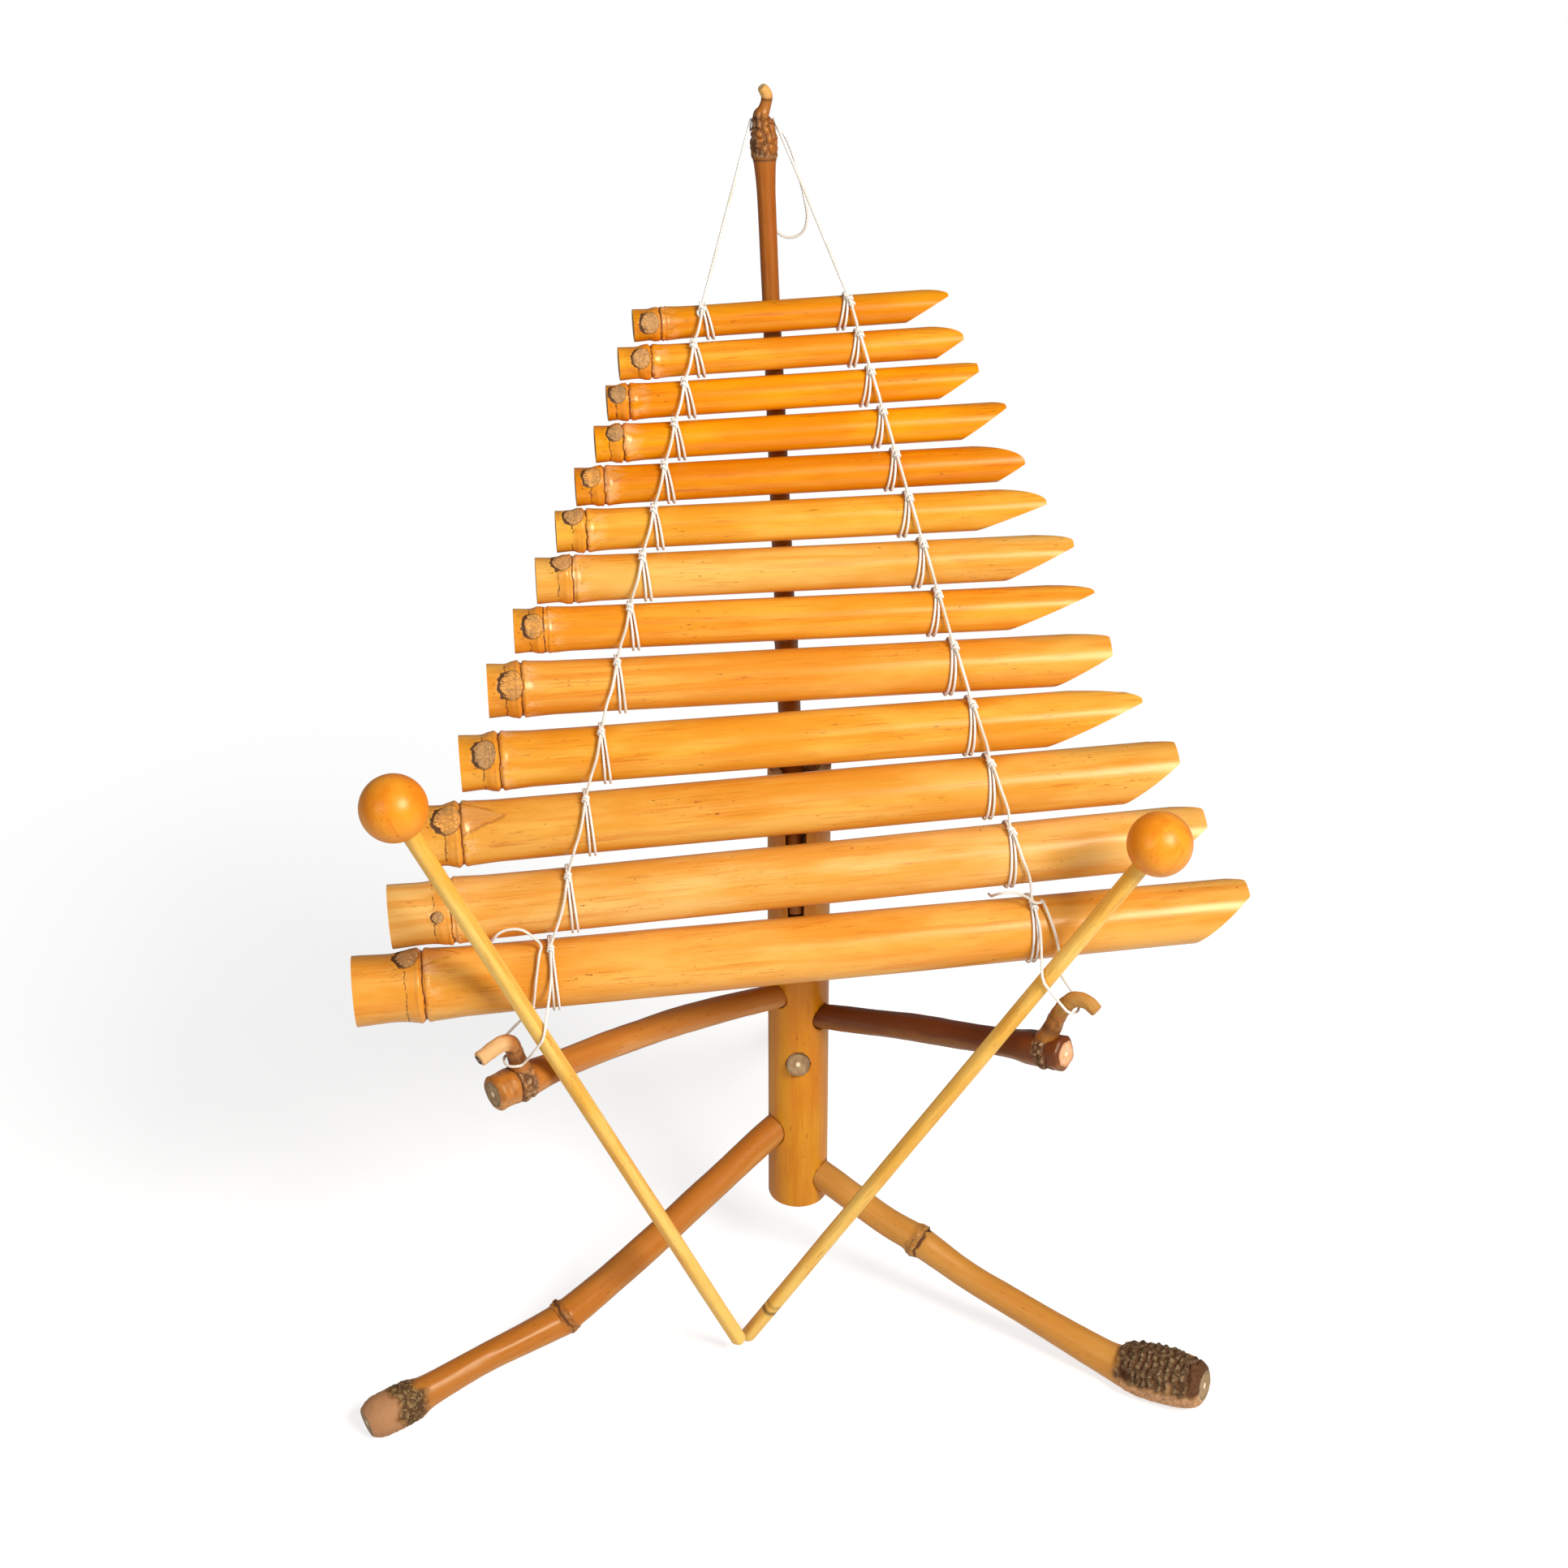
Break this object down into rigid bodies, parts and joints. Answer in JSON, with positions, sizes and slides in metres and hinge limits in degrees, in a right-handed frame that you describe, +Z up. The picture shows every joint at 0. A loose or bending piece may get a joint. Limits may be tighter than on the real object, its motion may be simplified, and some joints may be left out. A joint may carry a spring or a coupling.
{
  "type": "bamboo xylophone",
  "caption": "Hanging bamboo xylophone: quill-cut tube keys roped as a leaning ladder on a mast and two hook arms, three-legged stand, mallets threaded in the cord loops.",
  "frame": {"origin": "on the floor, under the middle of the whole instrument", "axes": "+Z up, the player stands at -Y, the keys run along X with their quill-cut ends at +X"},
  "size_m": [0.3376, 0.2903, 0.4811],
  "materials": {
    "bamboo": "lacquered golden bamboo",
    "split_bamboo": "smooth pale split bamboo",
    "branch": "varnished brown bamboo branch",
    "ball_wood": "polished turned wood",
    "cotton_cord": "twisted white cotton cord"
  },
  "bodies": {
    "stand": {"post": "bamboo", "mast": "branch", "left_arm": "branch", "right_arm": "branch", "left_leg": "branch", "right_leg": "branch", "rear_leg": "branch", "ladder_cord": "cotton_cord", "hang_loop": "cotton_cord"},
    "hung_key_01": {"key_01": "bamboo", "sling_left_01": "cotton_cord", "sling_right_01": "cotton_cord"},
    "hung_key_02": {"key_02": "bamboo", "sling_left_02": "cotton_cord", "sling_right_02": "cotton_cord"},
    "hung_key_03": {"key_03": "bamboo", "sling_left_03": "cotton_cord", "sling_right_03": "cotton_cord"},
    "hung_key_04": {"key_04": "bamboo", "sling_left_04": "cotton_cord", "sling_right_04": "cotton_cord"},
    "hung_key_05": {"key_05": "bamboo", "sling_left_05": "cotton_cord", "sling_right_05": "cotton_cord"},
    "hung_key_06": {"key_06": "bamboo", "sling_left_06": "cotton_cord", "sling_right_06": "cotton_cord"},
    "hung_key_07": {"key_07": "bamboo", "sling_left_07": "cotton_cord", "sling_right_07": "cotton_cord"},
    "hung_key_08": {"key_08": "bamboo", "sling_left_08": "cotton_cord", "sling_right_08": "cotton_cord"},
    "hung_key_09": {"key_09": "bamboo", "sling_left_09": "cotton_cord", "sling_right_09": "cotton_cord"},
    "hung_key_10": {"key_10": "bamboo", "sling_left_10": "cotton_cord", "sling_right_10": "cotton_cord"},
    "hung_key_11": {"key_11": "bamboo", "sling_left_11": "cotton_cord", "sling_right_11": "cotton_cord"},
    "hung_key_12": {"key_12": "bamboo", "sling_left_12": "cotton_cord", "sling_right_12": "cotton_cord"},
    "hung_key_13": {"key_13": "bamboo", "sling_left_13": "cotton_cord", "sling_right_13": "cotton_cord"},
    "left_mallet": {"left_mallet_shaft": "split_bamboo", "left_mallet_ball": "ball_wood"},
    "right_mallet": {"right_mallet_shaft": "split_bamboo", "right_mallet_ball": "ball_wood"}
  },
  "joints": [
    {"name": "strike_01", "type": "slide", "parent": "stand", "child": "hung_key_01", "axis": [0, 0.9198, -0.3923], "range_m": [0, 0.003], "stiffness_N_per_m": 600, "springref_m": -0.0006},
    {"name": "strike_02", "type": "slide", "parent": "stand", "child": "hung_key_02", "axis": [0, 0.9198, -0.3923], "range_m": [0, 0.003], "stiffness_N_per_m": 600, "springref_m": -0.0006},
    {"name": "strike_03", "type": "slide", "parent": "stand", "child": "hung_key_03", "axis": [0, 0.9198, -0.3923], "range_m": [0, 0.003], "stiffness_N_per_m": 600, "springref_m": -0.0006},
    {"name": "strike_04", "type": "slide", "parent": "stand", "child": "hung_key_04", "axis": [0, 0.9198, -0.3923], "range_m": [0, 0.003], "stiffness_N_per_m": 600, "springref_m": -0.0006},
    {"name": "strike_05", "type": "slide", "parent": "stand", "child": "hung_key_05", "axis": [0, 0.9198, -0.3923], "range_m": [0, 0.003], "stiffness_N_per_m": 600, "springref_m": -0.0006},
    {"name": "strike_06", "type": "slide", "parent": "stand", "child": "hung_key_06", "axis": [0, 0.9198, -0.3923], "range_m": [0, 0.003], "stiffness_N_per_m": 600, "springref_m": -0.0006},
    {"name": "strike_07", "type": "slide", "parent": "stand", "child": "hung_key_07", "axis": [0, 0.9198, -0.3923], "range_m": [0, 0.003], "stiffness_N_per_m": 600, "springref_m": -0.0006},
    {"name": "strike_08", "type": "slide", "parent": "stand", "child": "hung_key_08", "axis": [0, 0.9198, -0.3923], "range_m": [0, 0.003], "stiffness_N_per_m": 600, "springref_m": -0.0006},
    {"name": "strike_09", "type": "slide", "parent": "stand", "child": "hung_key_09", "axis": [0, 0.9198, -0.3923], "range_m": [0, 0.003], "stiffness_N_per_m": 600, "springref_m": -0.0006},
    {"name": "strike_10", "type": "slide", "parent": "stand", "child": "hung_key_10", "axis": [0, 0.9198, -0.3923], "range_m": [0, 0.003], "stiffness_N_per_m": 600, "springref_m": -0.0006},
    {"name": "strike_11", "type": "slide", "parent": "stand", "child": "hung_key_11", "axis": [0, 0.9198, -0.3923], "range_m": [0, 0.003], "stiffness_N_per_m": 600, "springref_m": -0.0006},
    {"name": "strike_12", "type": "slide", "parent": "stand", "child": "hung_key_12", "axis": [0, 0.9198, -0.3923], "range_m": [0, 0.003], "stiffness_N_per_m": 600, "springref_m": -0.0006},
    {"name": "strike_13", "type": "slide", "parent": "stand", "child": "hung_key_13", "axis": [0, 0.9198, -0.3923], "range_m": [0, 0.003], "stiffness_N_per_m": 600, "springref_m": -0.0006},
    {"name": "left_mallet_lift", "type": "slide", "parent": "stand", "child": "left_mallet", "axis": [-0.377, -0.1463, 0.9146], "range_m": [0, 0.18]},
    {"name": "right_mallet_lift", "type": "slide", "parent": "stand", "child": "right_mallet", "axis": [0.4796, -0.1667, 0.8615], "range_m": [0, 0.18]}
  ]
}
